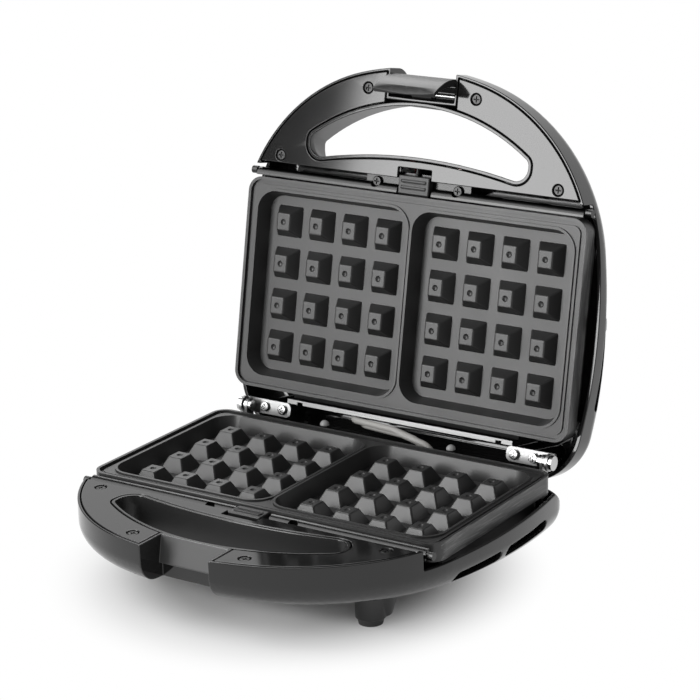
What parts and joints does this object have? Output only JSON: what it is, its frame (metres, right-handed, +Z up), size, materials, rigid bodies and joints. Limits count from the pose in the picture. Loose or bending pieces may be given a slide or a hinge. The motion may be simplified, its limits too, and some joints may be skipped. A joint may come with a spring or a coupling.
{
  "type": "waffle maker",
  "caption": "Hinged two-slice waffle maker, standing open, with ribbed non-stick plates, handle latch and plate release catches.",
  "frame": {"origin": "on the worktop, under the centre of the lower plate", "axes": "+X to the right along the plate's long side, +Y to the hinge at the rear, +Z up"},
  "size_m": [0.242, 0.2732, 0.2554],
  "materials": {
    "black_gloss": "glossy black moulded plastic",
    "nonstick": "satin dark grey non-stick coating on cast aluminium",
    "bright_steel": "bright rolled steel",
    "screw_steel": "zinc-plated steel",
    "tray_steel": "dull galvanised sheet",
    "reflector_aluminium": "bright aluminium sheet",
    "foot_rubber": "matt black rubber",
    "sleeve": "woven glass-fibre sleeve",
    "bakelite": "heat-resistant moulded plastic",
    "lens": "clear red plastic",
    "lamp_glass": "clear glass"
  },
  "bodies": {
    "base": {"base_cover_screws": "screw_steel", "base_handle_cover": "black_gloss", "base_shell": "black_gloss", "bracket_screws": "screw_steel", "cord_gland": "black_gloss", "hinge_bracket_left": "bright_steel", "hinge_bracket_right": "bright_steel", "hinge_pins": "bright_steel", "hinge_washers": "bright_steel", "lower_catch_spring": "screw_steel", "lower_front_rail": "bright_steel", "lower_heater": "screw_steel", "lower_heater_saddles": "screw_steel", "lower_rail_screws": "screw_steel", "lower_rear_strip": "bright_steel", "lower_reflector": "reflector_aluminium", "lower_tray": "tray_steel", "lower_tray_screws": "screw_steel", "rubber_feet": "foot_rubber", "terminal_block": "bakelite", "thermal_fuse": "bakelite", "thermostat": "bakelite", "wire_sleeves": "sleeve"},
    "lid": {"lid_shell": "black_gloss", "lid_handle_cover": "black_gloss", "lid_cover_screws": "screw_steel", "lid_arm_left": "bright_steel", "lid_arm_right": "bright_steel", "lid_arm_screws": "screw_steel", "latch_pin": "bright_steel", "indicator_lenses": "lens", "neon_lamps": "lamp_glass", "upper_tray": "tray_steel", "upper_tray_screws": "screw_steel", "upper_reflector": "reflector_aluminium", "upper_heater": "screw_steel", "upper_heater_saddles": "screw_steel", "upper_front_rail": "bright_steel", "upper_rail_screws": "screw_steel", "upper_rear_strip": "bright_steel", "upper_catch_spring": "screw_steel"},
    "latch": {"latch_hook": "black_gloss"},
    "lower_plate": {"lower_plate": "nonstick"},
    "upper_plate": {"upper_plate": "nonstick"},
    "lower_catch": {"lower_release_catch": "black_gloss"},
    "upper_catch": {"upper_release_catch": "black_gloss"}
  },
  "joints": [
    {"name": "lid_hinge", "type": "hinge", "parent": "base", "child": "lid", "pos_m": [0, 0.07465, 0.05], "axis": [-1, 0, 0], "range_deg": [-100.9, 0], "deforming": ["wire_sleeves"]},
    {"name": "latch_pivot", "type": "hinge", "parent": "lid", "child": "latch", "pos_m": [0, 0.11614, 0.24217], "axis": [-1, 0, 0], "range_deg": [-6, 25]},
    {"name": "lower_catch_slide", "type": "slide", "parent": "base", "child": "lower_catch", "axis": [0, -1, 0], "range_m": [0, 0.003], "stiffness_N_per_m": 200, "springref_m": -0.004, "deforming": ["lower_catch_spring"]},
    {"name": "upper_catch_slide", "type": "slide", "parent": "lid", "child": "upper_catch", "axis": [0, 0.1891, 0.982], "range_m": [0, 0.003], "stiffness_N_per_m": 200, "springref_m": -0.004, "deforming": ["upper_catch_spring"]},
    {"name": "lower_plate_lift", "type": "slide", "parent": "base", "child": "lower_plate", "axis": [0, 0, 1], "range_m": [0, 0.012]},
    {"name": "upper_plate_lift", "type": "slide", "parent": "lid", "child": "upper_plate", "axis": [0, -0.982, 0.1891], "range_m": [0, 0.012]}
  ]
}
